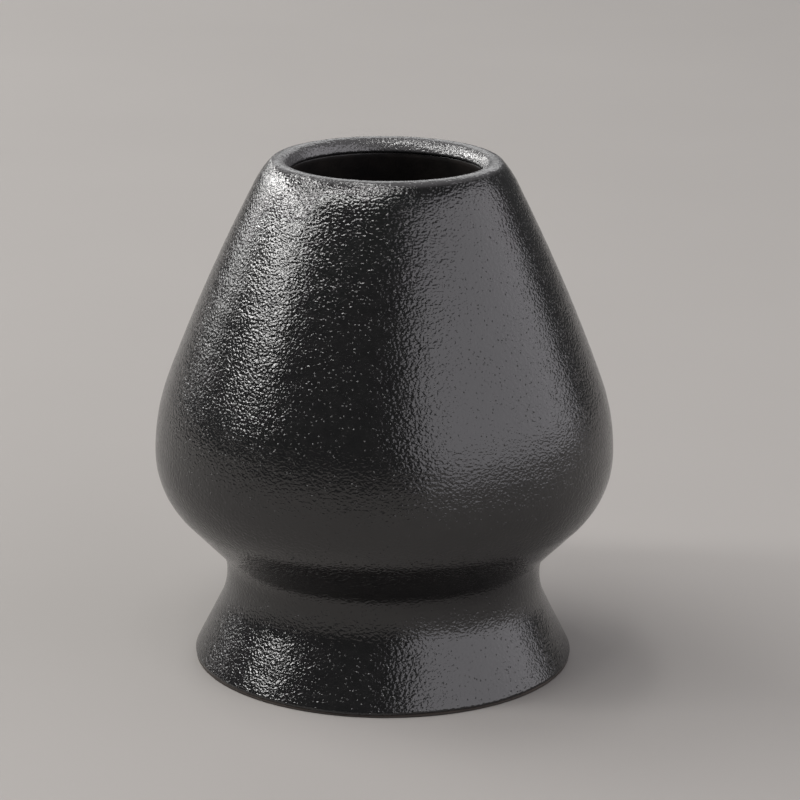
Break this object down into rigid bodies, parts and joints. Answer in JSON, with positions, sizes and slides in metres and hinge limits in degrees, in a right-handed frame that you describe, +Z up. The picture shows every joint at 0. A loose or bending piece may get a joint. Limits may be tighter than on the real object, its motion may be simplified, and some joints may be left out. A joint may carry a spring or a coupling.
{
  "type": "tea whisk holder",
  "caption": "Round stoneware holder for a bamboo tea whisk: a black-glazed bulb with a rolled open mouth over a hollow well, on a narrow waist and a flared hollow foot.",
  "frame": {"origin": "centre of the standing ring, on the plane that the holder stands on", "axes": "+Z up through the mouth, along the axis that the whole vessel is round about; +X and +Y are any two square directions across it"},
  "size_m": [0.0646, 0.0646, 0.072],
  "materials": {
    "black_glaze": "charcoal-black satin glaze with a fine leathery texture",
    "liner_glaze": "smoother dark glaze in the well",
    "stoneware": "bare dark stoneware, fired matt, showing at the standing ring and inside the foot"
  },
  "bodies": {
    "root": {"bulb": "stoneware", "foot": "stoneware", "joining_slip": "stoneware", "outer_glaze": "black_glaze", "liner_glaze": "liner_glaze"}
  },
  "joints": []
}
